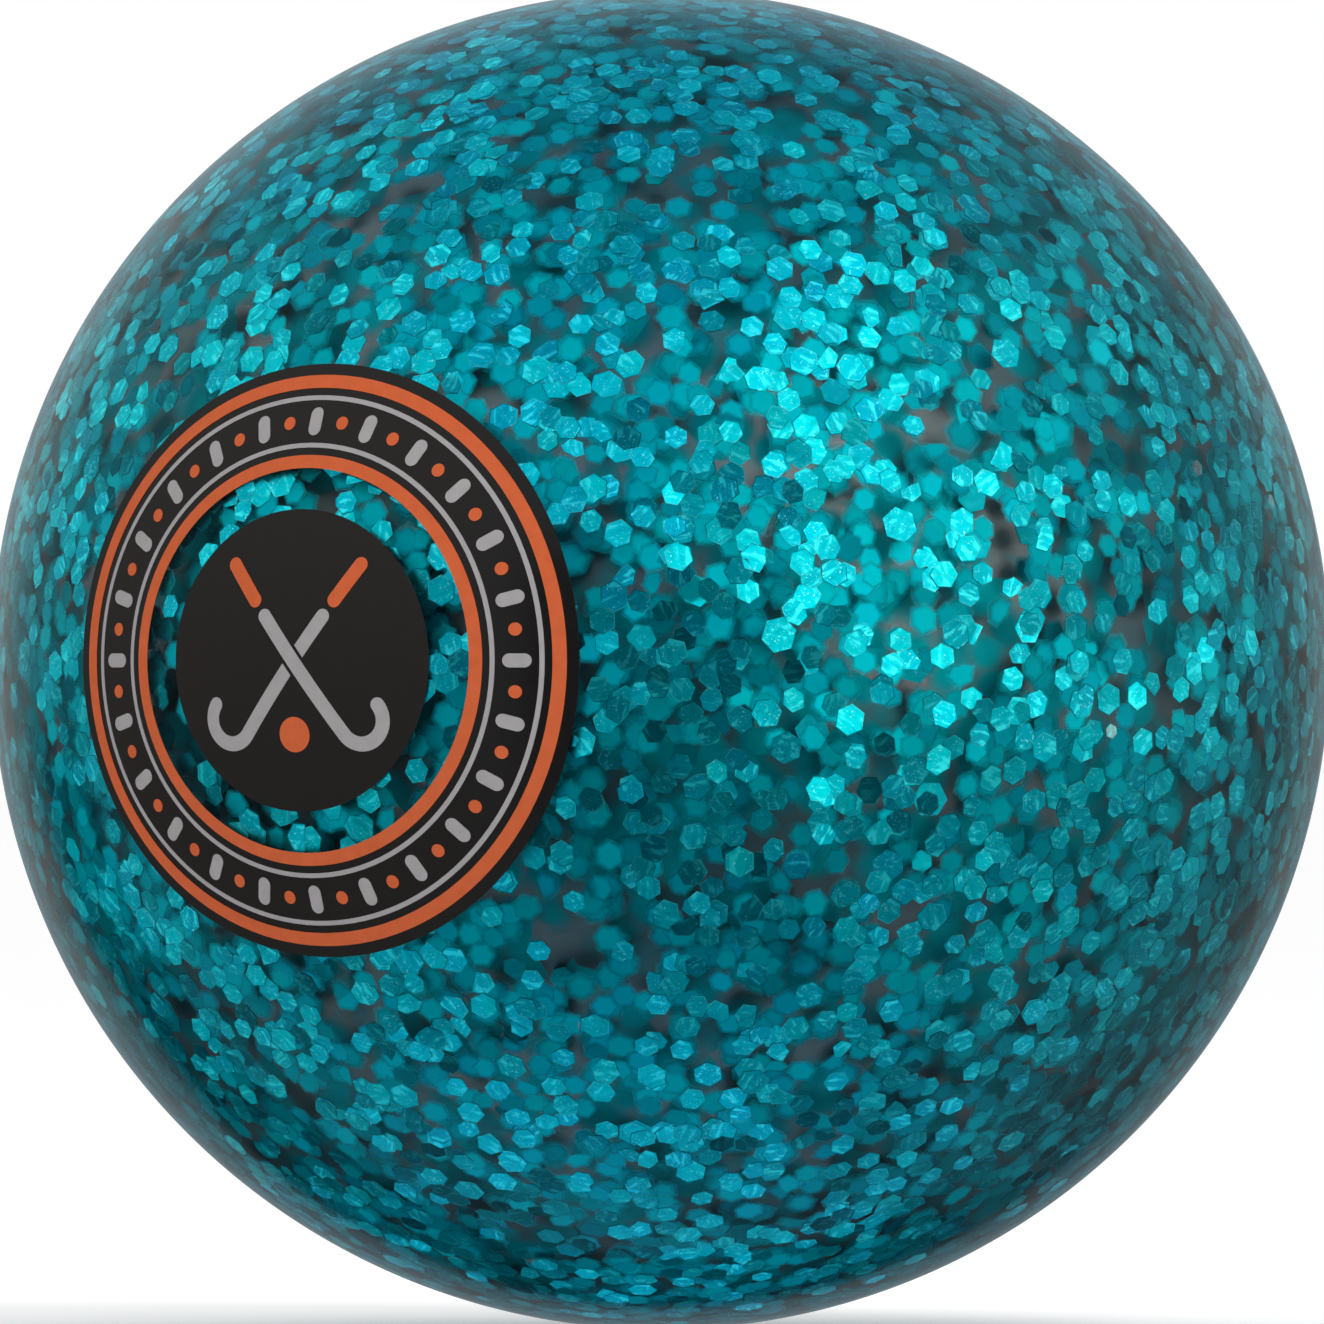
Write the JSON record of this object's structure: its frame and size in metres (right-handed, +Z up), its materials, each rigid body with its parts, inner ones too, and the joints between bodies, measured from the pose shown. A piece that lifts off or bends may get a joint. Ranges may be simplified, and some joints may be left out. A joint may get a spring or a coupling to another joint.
{
  "type": "field hockey ball",
  "caption": "Smooth field hockey ball with a dark core, a clear cover full of hexagonal blue-green glitter and a round printed mark in black, orange and silver.",
  "frame": {"origin": "centre of the ball", "axes": "+Z up, -Y through the middle of the printed mark, +X to the right as the mark is faced"},
  "size_m": [0.073, 0.0731, 0.073],
  "materials": {
    "core": "dark charcoal composite, matt",
    "cover": "clear moulded plastic, polished, with fine scratches",
    "glitter": "blue-green metallised film",
    "ink_black": "satin pad-printed ink",
    "ink_orange": "satin pad-printed ink",
    "ink_silver": "satin metallic ink"
  },
  "bodies": {
    "root": {"core": "core", "cover": "cover", "glitter_outer": "glitter", "glitter_middle": "glitter", "glitter_inner": "glitter", "print_black": "ink_black", "print_orange": "ink_orange", "print_silver": "ink_silver"}
  },
  "joints": []
}
